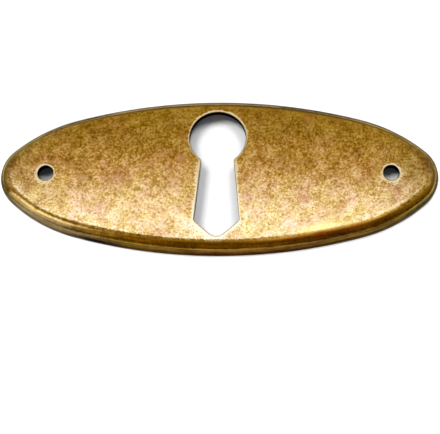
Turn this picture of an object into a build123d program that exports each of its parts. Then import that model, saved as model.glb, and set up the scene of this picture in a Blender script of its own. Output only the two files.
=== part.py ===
from build123d import *
import math
import os

# Oval keyhole escutcheon for a drawer or cabinet door: one plate pressed from sheet brass.
# It lies on its foot at Z 0, with its length along X and the keyhole's round head towards +Y.
# Sizes are in millimetres and angles in degrees.

# Plate: a flat oval of even sheet, with its rim turned down all round
plate_length = 60.0
plate_width = 22.0
sheet = 1.0
bend_inside = 0.85
skirt_height = 1.15
foot_chamfer = 0.2

# Oval: each quarter is a side, a flank and an end arc, tangent where they meet
flank_radius = 21.9
side_sweep = 15.4
flank_sweep = 26.5

# Edge that the punches roll over on the face, around the keyhole and the pin holes
roll_over = 0.15

# Keyhole: a round head over a slot that widens to a pointed base
keyhole_land = 0.05
head_diameter = 7.7
neck_width = 4.4
base_width = 6.1
base_angle = 41.5
neck_round = 0.4
shoulder_round = 0.5
tip_round = 1.5

# Pin holes: one near each end of the oval, on its long axis
pin_hole_diameter = 2.1
pin_inset = 6.5

# Levels of the plate
half_length = plate_length / 2
half_width = plate_width / 2
rim_radius = bend_inside + sheet
top = rim_radius + skirt_height

# Side and end radii with which the quarter oval meets both half axes
side_sin = math.sin(math.radians(side_sweep))
side_drop = 1 - math.cos(math.radians(side_sweep))
end_cos = math.cos(math.radians(side_sweep + flank_sweep))
end_drop = 1 - math.sin(math.radians(side_sweep + flank_sweep))
left_x = half_length - flank_radius * (1 - end_drop - side_sin)
left_y = half_width - flank_radius * (1 - side_drop - end_cos)
both = side_sin * end_cos - side_drop * end_drop
side_radius = (left_x * end_cos - left_y * end_drop) / both
end_radius = (left_y * side_sin - left_x * side_drop) / both

# Keyhole's outline: it takes up the width of the flat face, with a thin land left at either end
keyhole_end = half_width - rim_radius - roll_over - keyhole_land
half_neck = neck_width / 2
half_base = base_width / 2
head_radius = head_diameter / 2
head_centre = keyhole_end - head_radius
neck = head_centre - math.sqrt(head_radius**2 - half_neck**2)
slope = math.radians(base_angle)
point = -keyhole_end - tip_round * (1 / math.cos(slope) - 1)
shoulder = point + half_base * math.tan(slope)

pin_spacing = plate_length - 2 * pin_inset

with BuildPart() as escutcheon_plate:
    # Oval blank
    with BuildSketch():
        with BuildLine():
            side = JernArc((0, half_width), (1, 0), side_radius, -side_sweep)
            flank = JernArc(side @ 1, side % 1, flank_radius, -flank_sweep)
            JernArc(flank @ 1, flank % 1, end_radius, side_sweep + flank_sweep - 90)
            mirror(about=Plane.YZ)
            mirror(about=Plane.XZ)
        make_face()
    extrude(amount=top)

    # Rim turned down in one bend, and the hollow back that an even sheet leaves
    fillet(escutcheon_plate.edges().group_by(Axis.Z)[-1], rim_radius)
    offset(amount=-sheet, openings=escutcheon_plate.faces().sort_by(Axis.Z)[0])

    # Keyhole punched through the face, its corners eased from the neck down to the tip
    with BuildSketch() as keyhole:
        with BuildLine():
            ThreePointArc((-half_neck, neck), (0, keyhole_end), (half_neck, neck))
            Polyline(
                (half_neck, neck),
                (half_base, shoulder),
                (0, point),
                (-half_base, shoulder),
                (-half_neck, neck),
            )
        make_face()
        fillet(keyhole.vertices().sort_by(Axis.Y)[3:5], neck_round)
        fillet(keyhole.vertices().sort_by(Axis.Y)[1:3], shoulder_round)
        fillet(keyhole.vertices().sort_by(Axis.Y)[0], tip_round)
    extrude(amount=top, mode=Mode.SUBTRACT)

    # Pin holes punched through the face
    with BuildSketch():
        with GridLocations(pin_spacing, 0, 2, 1):
            Circle(pin_hole_diameter / 2)
    extrude(amount=top, mode=Mode.SUBTRACT)

    # Rolled-over edges of the holes, and the foot's outer edge with its burr filed off
    face = escutcheon_plate.faces().sort_by(Axis.Z)[-1]
    fillet(face.inner_wires().edges(), roll_over)
    foot = escutcheon_plate.faces().sort_by(Axis.Z)[0]
    chamfer(foot.outer_wire().edges(), foot_chamfer)

escutcheon_plate.part.label = "escutcheon_plate"

os.makedirs("parts", exist_ok=True)
export_step(escutcheon_plate.part, "parts/escutcheon_plate.step")
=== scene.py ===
import math

import bmesh
import bpy
import numpy as np
from mathutils import Matrix, Vector


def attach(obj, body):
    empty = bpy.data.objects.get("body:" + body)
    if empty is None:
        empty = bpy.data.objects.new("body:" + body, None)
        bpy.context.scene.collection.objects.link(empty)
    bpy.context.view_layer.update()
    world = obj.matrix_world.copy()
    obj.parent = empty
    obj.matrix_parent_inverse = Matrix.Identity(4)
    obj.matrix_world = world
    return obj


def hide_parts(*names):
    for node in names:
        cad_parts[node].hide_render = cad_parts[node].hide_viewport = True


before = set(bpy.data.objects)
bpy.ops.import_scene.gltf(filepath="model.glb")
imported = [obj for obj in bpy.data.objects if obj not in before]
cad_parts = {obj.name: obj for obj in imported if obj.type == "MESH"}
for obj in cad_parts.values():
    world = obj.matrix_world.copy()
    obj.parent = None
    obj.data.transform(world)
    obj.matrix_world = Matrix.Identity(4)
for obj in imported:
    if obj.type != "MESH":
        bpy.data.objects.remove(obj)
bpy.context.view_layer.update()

# Escutcheon plate
# The whole object: an oval of 1 mm sheet brass, pressed in one stroke so that its rim turns down
# all round, with the keyhole and the two pin holes punched through the face. It lies on its
# trimmed edge.

# Sizes in millimetres
MM = 0.001
half_length = 30.0
half_width = 11.0
top = 3.0
sheet = 1.0
rim_radius = 1.85
foot_chamfer = 0.2
roll_over = 0.15

# Quarter oval of three tangent arcs; the side and end radii make it meet both half axes
flank_radius = 21.9
side_sweep = math.radians(15.4)
flank_sweep = math.radians(26.5)
side_sin = math.sin(side_sweep)
side_drop = 1 - math.cos(side_sweep)
end_cos = math.cos(side_sweep + flank_sweep)
end_drop = 1 - math.sin(side_sweep + flank_sweep)
left_x = half_length - flank_radius * (1 - end_drop - side_sin)
left_y = half_width - flank_radius * (1 - side_drop - end_cos)
both = side_sin * end_cos - side_drop * end_drop
side_radius = (left_x * end_cos - left_y * end_drop) / both
end_radius = (left_y * side_sin - left_x * side_drop) / both


def oval(angle, inset):
    """Point of the oval's right half whose outward normal has that angle, moved inwards by inset:
    the centre of its arc plus the arc's radius, less inset, along the normal. From the long axis up
    or down, the arcs are the end's, the flank's and the side's."""
    tilt = np.abs(angle)
    on_end = tilt < math.pi / 2 - side_sweep - flank_sweep
    on_flank = tilt < math.pi / 2 - side_sweep
    side_y = half_width - side_radius
    flank_x = (side_radius - flank_radius) * side_sin
    flank_y = side_y + (side_radius - flank_radius) * (1 - side_drop)
    centre_x = np.select([on_end, on_flank], [half_length - end_radius, flank_x], 0.0)
    centre_y = np.select([on_end, on_flank], [0.0, flank_y], side_y) * np.sign(angle)
    radius = np.select([on_end, on_flank], [end_radius, flank_radius], side_radius) - inset
    return np.stack([centre_x + radius * np.cos(angle), centre_y + radius * np.sin(angle)], -1)


# Keyhole: a round head over a slot that widens to a pointed base
keyhole_end = 8.95
head_radius = 3.85
half_neck = 2.2
half_base = 3.05
base_angle = math.radians(41.5)
neck_round = 0.4
shoulder_round = 0.5
tip_round = 1.5
edge_points = 6001


def keyhole_half():
    """Right half of the keyhole's outline, from the top of its head down to its tip: points evenly
    along it, and their normals into the metal. It is the head's arc, the neck's, the shoulder's and
    the tip's, each a centre plus a radius along the normal, joined by the straight lines that touch
    them both."""
    head = np.array([0.0, keyhole_end - head_radius])
    neck = np.array([half_neck, head[1] - math.sqrt(head_radius**2 - half_neck**2)])
    point = -keyhole_end - tip_round * (1 / math.cos(base_angle) - 1)
    shoulder = np.array([half_base, point + half_base * math.tan(base_angle)])
    along = (shoulder - neck) / np.linalg.norm(shoulder - neck)
    slot_out = np.array([-along[1], along[0]])
    base_out = np.array([math.sin(base_angle), -math.cos(base_angle)])
    start = neck + neck_round * slot_out - head
    lean = start @ along
    slide = math.sqrt(lean**2 - start @ start + (head_radius + neck_round) ** 2) - lean
    neck_centre = head + start + slide * along
    shoulder_centre = shoulder - shoulder_round * (slot_out + base_out) / (1 + slot_out @ base_out)
    tip_centre = np.array([0.0, tip_round - keyhole_end])
    head_turn = math.atan2(neck_centre[1] - head[1], neck_centre[0])
    slot_turn = math.atan2(slot_out[1], slot_out[0])
    base_turn = math.atan2(base_out[1], base_out[0])
    turns = [math.pi / 2, head_turn, slot_turn, base_turn, -math.pi / 2]
    counts = [300, 60, 60, 60]
    turn = np.concatenate([np.linspace(*arc) for arc in zip(turns, turns[1:], counts)])
    centre = np.repeat([head, neck_centre, shoulder_centre, tip_centre], counts, axis=0)
    radius = np.repeat([head_radius, -neck_round, shoulder_round, tip_round], counts)
    normal = np.stack([np.cos(turn), np.sin(turn)], -1)
    edge = centre + radius[:, None] * normal
    run = np.concatenate([[0.0], np.cumsum(np.linalg.norm(np.diff(edge, axis=0), axis=1))])
    even = np.linspace(0, run[-1], edge_points)
    edge = np.stack([np.interp(even, run, edge[:, 0]), np.interp(even, run, edge[:, 1])], -1)
    turn = np.interp(even, run, turn)
    return edge, np.stack([np.cos(turn), np.sin(turn)], -1)


# The face is shared out at x = 14 mm: the middle to the keyhole, each end to its pin hole.
# The hub is the point in the keyhole from which rays share out the middle.
share_x = 14.0
hub_y = 1.0
pin_x = 23.5
pin_radius = 1.05

# Table of the face's border against the ray from the hub, from the top of the oval to its bottom,
# and every hundredth point of it, to measure distances from
border_points = 40001
border_step = 100
border_turn = np.linspace(math.pi / 2, -math.pi / 2, border_points)
border = oval(border_turn, rim_radius)
border_ray = np.arctan2(border[:, 0], border[:, 1] - hub_y)
face_border = border[::border_step]
upper = slice(border_points // 2 + 1)
corner_turn = np.interp(share_x, border[upper, 0], border_turn[upper])
corner = oval(np.array([corner_turn]), rim_radius)[0]
corner_rays = np.arctan2(share_x, np.array([corner[1], -corner[1]]) - hub_y)

# Points along the keyhole's edge, with those on the rays to the corners of its share added
edge_step = 30
edge, edge_normal = keyhole_half()
edge_ray = np.arctan2(edge[:, 0], edge[:, 1] - hub_y)
corner_stops = np.searchsorted(edge_ray, corner_rays)
stops = np.union1d(np.arange(0, edge_points, edge_step), corner_stops)
first_corner, last_corner = np.searchsorted(stops, corner_stops)
key_edge = edge[stops]
key_normal = edge_normal[stops]

# Where those rays meet the border of the keyhole's share
key_ray = np.arctan2(key_edge[:, 0], key_edge[:, 1] - hub_y)
key_turn = np.interp(key_ray, border_ray, border_turn)
key_border = oval(key_turn, rim_radius)
on_line = slice(first_corner, last_corner + 1)
key_border[on_line, 0] = share_x
key_border[on_line, 1] = hub_y + share_x / np.tan(key_ray[on_line])
key_border[first_corner] = corner
key_border[last_corner] = corner * np.array([1, -1])

# Border of the pin hole's share: round the end of the oval and back along the line
end_columns = 181
end_turn = np.linspace(corner_turn, -corner_turn, end_columns)
end_border = oval(end_turn, rim_radius)
line = key_border[on_line]
pin_border = np.concatenate([end_border, line[-2:0:-1]])
pin_ray = np.arctan2(pin_border[:, 1], pin_border[:, 0] - pin_x)
pin_normal = np.stack([np.cos(pin_ray), np.sin(pin_ray)], -1)
pin_edge = np.array([pin_x, 0.0]) + pin_radius * pin_normal
rim_turn = np.concatenate([key_turn[:first_corner], end_turn, key_turn[last_corner + 1:]])

# Rows of the grids; those on the face and under it crowd towards the hole
face_rows = 25
roll_rows = 6
wall_rows = 4
under_rows = 8
crowding = 1.6
bend_rows = 25
skirt_rows = 3
inner_rows = 9

# The two distances that the finish goes by are set to these in the holes' walls and on the back
wall_gap = -1.0
back_gap = 9.0
back_way = 6.0


def lifted(flat, z):
    """Grid in plan with each of its rows at the height given for it."""
    return np.concatenate([flat, np.broadcast_to(z[:, None, None], flat.shape[:2] + (1,))], -1)


def nearest(flat, points):
    """Distance in plan of each of the grid's points from the nearest one of the others."""
    return np.linalg.norm(flat[:, :, None] - points, axis=-1).min(axis=-1)


def collar(edge, normal, share_border):
    """Sheet round a hole, as a grid of rows: from the share's border over the face to the hole,
    over its rolled edge, down its wall and back under the face to the border. A point is the hole's
    edge moved by some of the roll-over into the metal, then part of the way to the border. Also
    gives the distance from the hole's rolled edge, negative over it, and from the face's border,
    negative inside that."""
    face_share = np.linspace(1, 0, face_rows) ** crowding
    roll = np.linspace(0, math.pi / 2, roll_rows + 1)[1:]
    wall = np.linspace(top - roll_over, top - sheet, wall_rows + 1)[1:]
    under_share = np.linspace(0, 1, under_rows + 1)[1:] ** crowding
    share = np.concatenate([
        face_share, np.zeros(roll_rows + wall_rows), under_share,
    ])[:, None, None]
    out = np.concatenate([
        np.full(face_rows, roll_over), roll_over * (1 - np.sin(roll)),
        np.zeros(wall_rows + under_rows),
    ])
    z = np.concatenate([
        np.full(face_rows, top), top - roll_over * (1 - np.cos(roll)), wall,
        np.full(under_rows, top - sheet),
    ])
    rolled_edge = edge + out[:, None, None] * normal
    flat = (1 - share) * rolled_edge + share * share_border
    on_roll = slice(face_rows, face_rows + roll_rows)
    on_wall = slice(on_roll.stop, on_roll.stop + wall_rows)
    hole_gap = np.linalg.norm(flat - rolled_edge, axis=-1)
    hole_gap[on_roll] = -roll_over * roll[:, None]
    hole_gap[on_wall] = wall_gap
    hole_gap[on_wall.stop:] = back_gap
    rim_way = -nearest(flat, face_border)
    rim_way[on_wall.start:] = back_way
    return lifted(flat, z), hole_gap, rim_way


def rim(turn):
    """Rim as a profile carried round the oval, from the face's border over the bend, down the
    skirt, round the foot, up the inside and over the inner bend. A point is the oval at the
    profile's inset, at the profile's height. Also gives its distance in plan from the keyhole's
    rolled edge, and the way run from the face's border along the profile."""
    bend = np.linspace(0, math.pi / 2, bend_rows)
    inner = np.linspace(math.pi / 2, 0, inner_rows)
    inner_radius = rim_radius - sheet
    bend_end = top - rim_radius
    skirt = np.linspace(bend_end, foot_chamfer, skirt_rows + 1)[1:]
    foot = [foot_chamfer, 0.5, 0.75, sheet]
    inset = np.concatenate([
        rim_radius * (1 - np.sin(bend)), np.zeros(skirt_rows), foot,
        sheet + inner_radius * (1 - np.sin(inner)),
    ])
    z = np.concatenate([
        top - rim_radius * (1 - np.cos(bend)), skirt, np.zeros(len(foot)),
        bend_end + inner_radius * np.cos(inner),
    ])
    flat = oval(turn[None, :], inset[:, None])
    hole_gap = nearest(flat, key_edge + roll_over * key_normal)
    hole_gap[bend_rows:] = back_gap
    way = np.concatenate([[0.0], np.cumsum(np.hypot(np.diff(inset), np.diff(z)))])
    return lifted(flat, z), hole_gap, np.broadcast_to(way[:, None], flat.shape[:2])


def quads(rows, columns, closed, first):
    """Corner numbers of a grid's faces, counted from first: each cell joins a point, its neighbours
    along the row and the column, and the one across. A closed grid joins its last column to its
    first."""
    index = np.arange(rows * columns).reshape(rows, columns) + first
    if closed:
        index = np.concatenate([index, index[:, :1]], axis=1)
    cells = np.stack([index[:-1, :-1], index[1:, :-1], index[1:, 1:], index[:-1, 1:]], -1)
    return cells.reshape(-1, 4)


# The right half's grids, and the same mirrored for the left half
grids = [
    (*collar(key_edge, key_normal, key_border), False),
    (*collar(pin_edge, pin_normal, pin_border), True),
    (*rim(rim_turn), False),
]
sides = [
    (points * np.array([flip, 1.0, 1.0]), gap, way, closed)
    for flip in (1.0, -1.0) for points, gap, way, closed in grids
]
firsts = np.concatenate([[0], np.cumsum([gap.size for points, gap, way, closed in sides])])
co = np.concatenate([points.reshape(-1, 3) for points, gap, way, closed in sides])
cells = np.concatenate([
    quads(*gap.shape, closed, first) for (points, gap, way, closed), first in zip(sides, firsts)
])
hole_gap = np.concatenate([gap.ravel() for points, gap, way, closed in sides])
rim_way = np.concatenate([way.ravel() for points, gap, way, closed in sides])

# The pressed sheet springs a little: its middle stands proud of the border, and the foot stays
# flat. The punch drags the face down round the keyhole's head, and less towards its neck.
spring = 0.12
die_roll = 0.02
die_reach = 0.4
x, y, z = co.T
face_x = half_length - rim_radius
face_y = half_width - rim_radius
reach = np.minimum(1.0, (x / face_x) ** 2 + (y / face_y) ** 2)
head_gap = np.hypot(x, y - keyhole_end + head_radius) - head_radius - roll_over
on_face = (hole_gap > wall_gap) & (hole_gap < back_gap)
dragged = on_face * np.clip(1 - head_gap / die_reach, 0, 1) ** 2 * np.interp(y, [0, 6], [0, 1])
co[:, 2] = z - spring * reach * z / top - die_roll * dragged

mesh = bpy.data.meshes.new("escutcheon_plate_brass")
mesh.from_pydata((co * MM).tolist(), [], cells.tolist())

# Patina of the rim by the direction from the middle, in degrees with east as 0: how far over the
# bend it was rubbed off, in millimetres, and what is left of it there and low on the rim. These
# tones are partly patina and partly painted shade and reflection: each side's tone is set to how
# that side caught the light, and the low band is darkened as for a dim reflection. It is olive
# round the ends and the far side, worn thin at the lower left, and brown along the near side.
wear_and_shade = [
    (0, 0.95, "#9A8040", "#5E5340"),
    (60, 0.7, "#82704E", "#463D2C"),
    (120, 0.7, "#8A7650", "#665A40"),
    (180, 0.95, "#94804A", "#6A5C3A"),
    (212, 1.0, "#907C54", "#6F6041"),
    (230, 1.0, "#9A8458", "#695837"),
    (239, 0.8, "#D0A84C", "#514023"),
    (248, 0.65, "#BE9030", "#574218"),
    (262, 0.65, "#A67D26", "#533C1A"),
    (285, 0.65, "#A27822", "#503818"),
    (302, 0.5, "#925A24", "#54401C"),
    (320, 0.6, "#8C6628", "#54431E"),
    (335, 0.9, "#987834", "#524722"),
]
around = np.degrees(np.arctan2(y / half_width, x / half_length))
directions, rubbed, on_bend, low_down = zip(*wear_and_shade)

# The pale ring round the holes, partly rubbed wear and partly a painted highlight: a larger share
# of the gap makes it thinner. It is thin round the keyhole's head and above the pin holes, wider
# below them, and widest along the slot, most of all on the left and at the base. Along the slot it
# also runs further over the rolled edge.
by_keyhole = np.abs(x) < share_x
in_slot = by_keyhole * np.interp(y, [1.5, 3.5], [1, 0])
slot_share = np.interp(x, [-1, 1], [0.4, 0.6]) - np.interp(y, [-6, -4], [0.15, 0])
pin_share = np.interp(y, [-0.5, 0.5], [0.55, 1.4])
head_share = 1.4
outer_share = np.where(by_keyhole, head_share, pin_share)
ring_share = outer_share + (slot_share - outer_share) * in_slot
roll_share = np.interp(in_slot, [0, 1], [1.25, 0.6])
ring_gap = hole_gap * np.select([hole_gap > 0, hole_gap > wall_gap], [ring_share, roll_share], 1.0)


def bell(*ways):
    """Bell curve: 1 in the middle, and less by the squares of the ways from it, each in widths."""
    return np.exp(-sum(way**2 for way in ways))


# The painted contact shadow lies on the foot at the lower left, the painted glint on the rim's
# border at the lower right, and the tarnish towards both ends, weaker on the left.
values = {
    "ring_gap": ring_gap,
    "rim_way": rim_way,
    "rubbed": np.interp(around, directions, rubbed, period=360),
    "stained": bell((around + 123.5) / 5.5),
    "burnished": bell((around + 56) / 7, (rim_way + 0.1) / 0.4),
    "tarnished": bell((np.abs(x) - 27) / 3, (y - 1) / 4) * np.where(x > 0, 1.0, 0.4),
}
for name, value in values.items():
    mesh.attributes.new(name, "FLOAT", "POINT").data.foreach_set("value", value.astype(np.float32))


def linear(code):
    """Linear colour of an sRGB hex code."""
    srgb = np.array([int(code[i:i + 2], 16) for i in (1, 3, 5)]) / 255
    return (*np.where(srgb <= 0.04045, srgb / 12.92, ((srgb + 0.055) / 1.055) ** 2.4), 1.0)


for name, codes in (("patina_on_bend", on_bend), ("patina_low", low_down)):
    channels = np.array([linear(code) for code in codes]).T
    shades = [np.interp(around, directions, channel, period=360) for channel in channels]
    colours = mesh.attributes.new(name, "FLOAT_COLOR", "POINT").data
    colours.foreach_set("color", np.stack(shades, -1).astype(np.float32).ravel())

# The grids are sewn together along their borders
merge_distance = 1e-7
sharp_angle = math.radians(35)
shell = bmesh.new()
shell.from_mesh(mesh)
bmesh.ops.remove_doubles(shell, verts=shell.verts, dist=merge_distance)
bmesh.ops.recalc_face_normals(shell, faces=shell.faces)
shell.to_mesh(mesh)
shell.free()
mesh.shade_smooth()
mesh.set_sharp_from_angle(angle=sharp_angle)
plate = bpy.data.objects.new("escutcheon_plate_brass", mesh)
bpy.context.scene.collection.objects.link(plate)


def add(tree, kind, settings=None, links=None):
    """Adds a node of that kind, gives its properties, its inputs or the stops of its colour ramp
    their settings, and links its inputs."""
    node = tree.nodes.new(kind)
    for key, value in (settings or {}).items():
        if key == "stops":
            for position, code in value[2:]:
                node.color_ramp.elements.new(position)
            for stop, (position, code) in zip(node.color_ramp.elements, value):
                stop.position = position
                stop.color = linear(code)
        elif isinstance(key, str) and hasattr(node, key):
            setattr(node, key, value)
        else:
            node.inputs[key].default_value = value
    for key, socket in (links or {}).items():
        tree.links.new(socket, node.inputs[key])
    return node


# Antiqued brass: sheet brass darkened in an acid bath, then rubbed back on the face. The eye sees a
# satin gold, finely speckled where the acid bit, in warm and pinkish clouds, with the brown left on
# the turned-down rim, there partly painted shade, the holes painted dark as shade, and a pale line
# along the edges, partly rubbed and partly a painted highlight.
brass = bpy.data.materials.new("antiqued_brass")
brass.use_nodes = True
tree = brass.node_tree
tree.nodes.clear()
place = add(tree, "ShaderNodeTexCoord").outputs["Object"]
marks = {
    name: add(tree, "ShaderNodeAttribute", {"attribute_name": name}).outputs["Fac"]
    for name in values
}
bend_shade = add(tree, "ShaderNodeAttribute", {"attribute_name": "patina_on_bend"}).outputs["Color"]
low_shade = add(tree, "ShaderNodeAttribute", {"attribute_name": "patina_low"}).outputs["Color"]

# How colours are mixed: one over the other, or one times the other. Of a Mix node's sockets, inputs
# 6 and 7 and output 2 are its colours, and inputs 2 and 3 and output 0 its numbers.
over = {"data_type": "RGBA"}
times = {"data_type": "RGBA", "blend_type": "MULTIPLY", 0: 1.0}

# Speckle of the acid: bites of 0.1 to 0.5 mm, in clumps
bite = 0.36 * MM
clump = 1.3 * MM
bites = add(
    tree, "ShaderNodeTexNoise",
    {"Scale": 1 / bite, "Detail": 2.0, "Roughness": 1.0}, {"Vector": place},
).outputs["Fac"]
clumps = add(
    tree, "ShaderNodeTexNoise",
    {"Scale": 1 / clump, "Detail": 1.0, "Roughness": 0.6}, {"Vector": place},
).outputs["Fac"]
speckle = add(tree, "ShaderNodeMix", {"Factor": 0.3}, {2: bites, 3: clumps}).outputs[0]
deep_bite = 0.36
no_bite = 0.64
bitten_stops = [
    (deep_bite, "#A2863C"), (0.44, "#CDB066"), (0.5, "#E5CC8C"), (0.56, "#FAE4B0"),
    (no_bite, "#FCF5D4"),
]
bitten = add(
    tree, "ShaderNodeValToRGB", {"stops": bitten_stops}, {"Fac": speckle},
).outputs["Color"]

# Clouds of thicker patina, and drifts of pinker and yellower brass
cloud = 2.5 * MM
drift = 1.9 * MM
clouds = add(
    tree, "ShaderNodeTexNoise",
    {"Scale": 1 / cloud, "Detail": 2.0, "Roughness": 0.55}, {"Vector": place},
).outputs["Fac"]
cloud_tone = add(
    tree, "ShaderNodeValToRGB",
    {"stops": [(0.34, "#FFFFFF"), (0.50, "#FBF9F6"), (0.68, "#E4D6CA")]}, {"Fac": clouds},
).outputs["Color"]
drifts = add(
    tree, "ShaderNodeTexNoise",
    {"noise_dimensions": "4D", "W": 3.0, "Scale": 1 / drift, "Detail": 1.0, "Roughness": 0.5},
    {"Vector": place},
).outputs["Fac"]
drift_tone = add(
    tree, "ShaderNodeValToRGB",
    {"stops": [(0.34, "#FFF6FF"), (0.5, "#FFFDF7"), (0.66, "#FFFFE8")]}, {"Fac": drifts},
).outputs["Color"]
clouded = add(tree, "ShaderNodeMix", times, {6: bitten, 7: cloud_tone}).outputs[2]
drifted = add(tree, "ShaderNodeMix", times, {6: clouded, 7: drift_tone}).outputs[2]
dimmed = add(
    tree, "ShaderNodeMix", {**times, 7: linear("#E2E1D4")}, {0: marks["tarnished"], 6: drifted},
).outputs[2]

# Pale ring along the edges of the holes, partly rubbed bright and partly a painted highlight, and a
# painted yellow glint on the rim's border
patchy = add(
    tree, "ShaderNodeMath", {"operation": "MULTIPLY_ADD", 1: -1.0, 2: 0.5}, {0: speckle},
).outputs["Value"]
ragged_gap = add(
    tree, "ShaderNodeMath", {"operation": "ADD"}, {0: marks["ring_gap"], 1: patchy},
).outputs["Value"]
ring = add(
    tree, "ShaderNodeMapRange", {"From Min": 0.3, "From Max": 0.1, "To Max": 0.95},
    {"Value": ragged_gap},
).outputs["Result"]
ringed = add(tree, "ShaderNodeMix", {**over, 7: linear("#FFF6CE")}, {0: ring, 6: dimmed}).outputs[2]
# Painted glint: a yellow highlight painted on the rim's border at the lower right
glinted = add(
    tree, "ShaderNodeMix", {**over, 7: linear("#F2EC8C")}, {0: marks["burnished"], 6: ringed},
).outputs[2]

# Patina that the rubbing left, partly painted shade and reflection: from a ragged border on the
# bend down to the foot, and dark on the back
ragged = add(
    tree, "ShaderNodeMath", {"operation": "MULTIPLY_ADD", 1: 1.2, 2: -0.6}, {0: speckle},
).outputs["Value"]
past = add(
    tree, "ShaderNodeMath", {"operation": "SUBTRACT"}, {0: marks["rim_way"], 1: marks["rubbed"]},
).outputs["Value"]
ragged_past = add(
    tree, "ShaderNodeMath", {"operation": "ADD"}, {0: past, 1: ragged},
).outputs["Value"]
rim_dark = add(
    tree, "ShaderNodeMapRange",
    {"From Min": -0.1, "From Max": 0.25, "interpolation_type": "SMOOTHSTEP"},
    {"Value": ragged_past},
).outputs["Result"]
low = add(
    tree, "ShaderNodeMapRange", {"From Min": 1.3, "From Max": 1.9}, {"Value": marks["rim_way"]},
).outputs["Result"]
outside = add(tree, "ShaderNodeMix", over, {0: low, 6: bend_shade, 7: low_shade}).outputs[2]
behind = add(
    tree, "ShaderNodeMapRange", {"From Min": 4.6, "From Max": 5.0}, {"Value": marks["rim_way"]},
).outputs["Result"]
patina_and_shade = add(
    tree, "ShaderNodeMix", {**over, 7: linear("#3E3220")}, {0: behind, 6: outside},
).outputs[2]

# Streaks that the die drew along the rim, among the speckle
streak_length = 6 * MM
streak_width = 0.3 * MM
spot = add(tree, "ShaderNodeSeparateXYZ", links={"Vector": place})
deep = add(
    tree, "ShaderNodeMath", {"operation": "MULTIPLY", 1: streak_length / streak_width * MM},
    {0: marks["rim_way"]},
).outputs["Value"]
drawn = add(
    tree, "ShaderNodeCombineXYZ",
    links={"X": spot.outputs["X"], "Y": spot.outputs["Y"], "Z": deep},
).outputs["Vector"]
streaks = add(
    tree, "ShaderNodeTexNoise",
    {"Scale": 1 / streak_length, "Detail": 2.0, "Roughness": 0.6}, {"Vector": drawn},
).outputs["Fac"]
streaked = add(tree, "ShaderNodeMix", {"Factor": 0.5}, {2: streaks, 3: speckle}).outputs[0]
mottle = add(
    tree, "ShaderNodeMapRange",
    {"From Min": 0.39, "From Max": 0.61, "To Min": 0.35, "To Max": 1.65}, {"Value": streaked},
).outputs["Result"]
mottled = add(tree, "ShaderNodeMix", times, {6: patina_and_shade, 7: mottle}).outputs[2]
rimmed = add(tree, "ShaderNodeMix", over, {0: rim_dark, 6: glinted, 7: mottled}).outputs[2]

# Painted shade: the holes' walls and the lips of their rolled edges near black, and a black painted
# contact shadow on the foot at the lower left
painted_hole_shade = add(
    tree, "ShaderNodeMapRange",
    {"From Min": -0.09, "From Max": -0.18}, {"Value": marks["ring_gap"]},
).outputs["Result"]
at_foot = add(
    tree, "ShaderNodeMapRange", {"From Min": 2.1, "From Max": 2.8}, {"Value": marks["rim_way"]},
).outputs["Result"]
painted_foot_shadow = add(
    tree, "ShaderNodeMath", {"operation": "MULTIPLY"}, {0: at_foot, 1: marks["stained"]},
).outputs["Value"]
painted_shade = add(
    tree, "ShaderNodeMath", {"operation": "MAXIMUM"}, {0: painted_hole_shade, 1: painted_foot_shadow},
).outputs["Value"]
colour = add(
    tree, "ShaderNodeMix", {**over, 7: linear("#1A1007")}, {0: painted_shade, 6: rimmed},
).outputs[2]

# The pale specks are the duller ones, and the pale ring is dull round the keyhole's head
gloss = add(
    tree, "ShaderNodeMapRange",
    {"From Min": deep_bite, "From Max": no_bite, "To Min": 0.10, "To Max": 0.22},
    {"Value": speckle},
).outputs["Result"]
head_side = add(
    tree, "ShaderNodeMapRange", {"From Max": 6 * MM, "To Min": 0.3}, {"Value": spot.outputs["Y"]},
).outputs["Result"]
duller = add(
    tree, "ShaderNodeMath", {"operation": "MULTIPLY"}, {0: ring, 1: head_side},
).outputs["Value"]
dull = add(tree, "ShaderNodeMix", {3: 0.5}, {0: duller, 2: gloss}).outputs[0]
bite_depth = 0.012 * MM
relief = add(tree, "ShaderNodeBump", {"Strength": 1.0, "Distance": bite_depth}, {"Height": speckle})
shader = add(
    tree, "ShaderNodeBsdfPrincipled", {"Metallic": 1.0, "Specular Tint": linear("#A4A3A8")},
    {"Base Color": colour, "Roughness": dull, "Normal": relief.outputs["Normal"]},
)
add(tree, "ShaderNodeOutputMaterial", links={"Surface": shader.outputs["BSDF"]})
mesh.materials.append(brass)

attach(plate, "root")
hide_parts("escutcheon_plate")

# Table
# A plain matt white top, wide enough to fill the view from every side. The plate lies on it by its
# foot, with nothing that fixes it.
table_half = 3.0
ways = [(-1, -1), (1, -1), (1, 1), (-1, 1)]
corners = [(i * table_half, j * table_half, 0) for i, j in ways]
table_mesh = bpy.data.meshes.new("table")
table_mesh.from_pydata(corners, [], [(0, 1, 2, 3)])
table = bpy.data.objects.new("table", table_mesh)
bpy.context.scene.collection.objects.link(table)
white = bpy.data.materials.new("white_table_top")
white.use_nodes = True
white_shader = white.node_tree.nodes["Principled BSDF"]
white_shader.inputs["Base Color"].default_value = linear("#F2F2F2")
white_shader.inputs["Roughness"].default_value = 0.9
table_mesh.materials.append(white)

# Light
# A softbox hangs close over the plate, and a window at the lower left shows in the bend of its rim.
# Broad even lights fall on the table alone: two from a little behind the plate, and a low one in
# front.
lit_plate = bpy.data.collections.new("lit_plate")
lit_plate.objects.link(plate)


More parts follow.
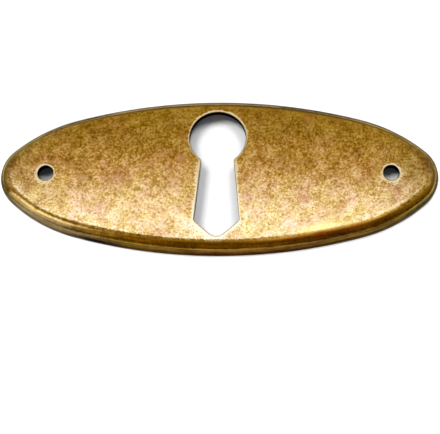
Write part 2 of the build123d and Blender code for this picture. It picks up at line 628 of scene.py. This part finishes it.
def lamp(name, place, aim, width, depth, colour):
    """Hangs a rectangular lamp of that radiance at a place in millimetres, turned to face its aim.
    It lights the plate alone."""
    light = bpy.data.lights.new(name, "AREA")
    light.shape = "RECTANGLE"
    light.size = width * MM
    light.size_y = depth * MM
    light.energy = math.pi * light.size * light.size_y
    light.color = colour
    body = bpy.data.objects.new(name, light)
    body.location = Vector(place) * MM
    body.rotation_euler = (Vector(place) - Vector(aim)).to_track_quat("Z", "Y").to_euler()
    body.visible_camera = False
    body.light_linking.receiver_collection = lit_plate
    bpy.context.scene.collection.objects.link(body)


lamp("softbox_core", (-8, 16, 150), (-8, 16, 0), 160, 52, (0.30, 0.44, 0.76))
lamp("softbox", (-8, 20, 152), (-8, 20, 0), 160, 60, (0.57, 0.67, 1.06))
lamp("softbox_fringe", (-11, 28.5, 154), (-11, 28.5, 0), 110, 77, (0.13, 0.05, 0.0))
lamp("softbox_sides", (-8, 28.5, 156), (-8, 28.5, 0), 500, 77, (0.16, 0.135, 0.065))
lamp("fill", (50, -60, 158), (50, -60, 0), 75, 100, (0.54, 0.42, 0.26))
lamp("window_left", (-133, -59, 71), (-22, -7, 71), 45, 122, (1.07, 1.07, 1.07))
lamp("window_right", (-108, -91, 91), (-22, -7, 91), 52, 162, (1.07, 1.07, 1.07))

# How far in degrees each light of the table is tipped to shine to the north and leans to shine to
# the west, its spread in degrees, and its strength
lit_table = bpy.data.collections.new("lit_table")
lit_table.objects.link(table)
table_lights = [
    ("table_light_left", -7.5, -19, 24, 2.2),
    ("table_light_right", -13, 15.5, 24, 1.4),
    ("table_light_near", 84, 0, 4, 16.0),
]
for name, tip, lean, spread, strength in table_lights:
    sun = bpy.data.lights.new(name, "SUN")
    sun.angle = math.radians(spread)
    sun.energy = strength
    sun_lamp = bpy.data.objects.new(name, sun)
    sun_lamp.rotation_euler = (math.radians(tip), math.radians(lean), 0)
    sun_lamp.light_linking.receiver_collection = lit_table
    bpy.context.scene.collection.objects.link(sun_lamp)

# The room: a warm brown, brighter towards the north and greyer to the sides, that lights the table
# as plain grey
world = bpy.data.worlds.new("studio")
world.use_nodes = True
room = world.node_tree
room.nodes.clear()
direction = add(room, "ShaderNodeTexCoord").outputs["Object"]
heading = add(room, "ShaderNodeSeparateXYZ", links={"Vector": direction})
north = add(
    room, "ShaderNodeMapRange", {"From Min": -1.0}, {"Value": heading.outputs["Y"]},
).outputs["Result"]
walls = add(
    room, "ShaderNodeValToRGB",
    {"stops": [(0.2, "#907830"), (0.65, "#A0831C"), (1.0, "#AE9A52")]}, {"Fac": north},
).outputs["Color"]
sideways = add(
    room, "ShaderNodeMath", {"operation": "ABSOLUTE"}, {0: heading.outputs["X"]},
).outputs["Value"]
to_side = add(
    room, "ShaderNodeMapRange", {"From Min": 0.2, "From Max": 0.6}, {"Value": sideways},
).outputs["Result"]
not_near = add(
    room, "ShaderNodeMapRange",
    {"From Min": -0.2, "From Max": 0.15}, {"Value": heading.outputs["Y"]},
).outputs["Result"]
greyed = add(
    room, "ShaderNodeMath", {"operation": "MULTIPLY"}, {0: to_side, 1: not_near},
).outputs["Value"]
side_walls = add(
    room, "ShaderNodeMix", {**over, 7: linear("#A09278")}, {0: greyed, 6: walls},
).outputs[2]
brown = add(room, "ShaderNodeBackground", links={"Color": side_walls}).outputs["Background"]
grey = add(room, "ShaderNodeBackground", {"Color": linear("#84868A")}).outputs["Background"]
ray = add(room, "ShaderNodeLightPath")
for_both = add(
    room, "ShaderNodeMixShader", links={0: ray.outputs["Is Diffuse Ray"], 1: brown, 2: grey},
)
add(room, "ShaderNodeOutputWorld", links={"Surface": for_both.outputs["Shader"]})
bpy.context.scene.world = world

# Camera
# It looks down on the plate from the keyhole's pointed end and a little from the east, 19 degrees
# from straight above. Its distance and aim are in millimetres, its swing and roll in radians, and
# its focal length in picture widths.
tilt = math.radians(18.73)
swing = 0.1494
roll = -0.1406
distance = 150.0
aim = np.array([0.502, -6.383, top])
focal_widths = 1121.8 / 440
back = np.array([
    math.sin(swing) * math.sin(tilt), -math.cos(swing) * math.sin(tilt), math.cos(tilt),
])
level = np.array([math.cos(swing), math.sin(swing), 0.0])
upright = np.cross(back, level)
right = math.cos(roll) * level + math.sin(roll) * upright
up = math.cos(roll) * upright - math.sin(roll) * level
pose = np.eye(4)
pose[:3, :] = np.stack([right, up, back, (aim + distance * back) * MM], -1)
view = bpy.data.cameras.new("view")
view.sensor_width = 36.0
view.lens = focal_widths * view.sensor_width
view.clip_start = 0.01
camera = bpy.data.objects.new("view", view)
camera.matrix_world = Matrix(pose.tolist())
bpy.context.scene.collection.objects.link(camera)
bpy.context.scene.camera = camera
bpy.context.scene.view_settings.view_transform = "Standard"
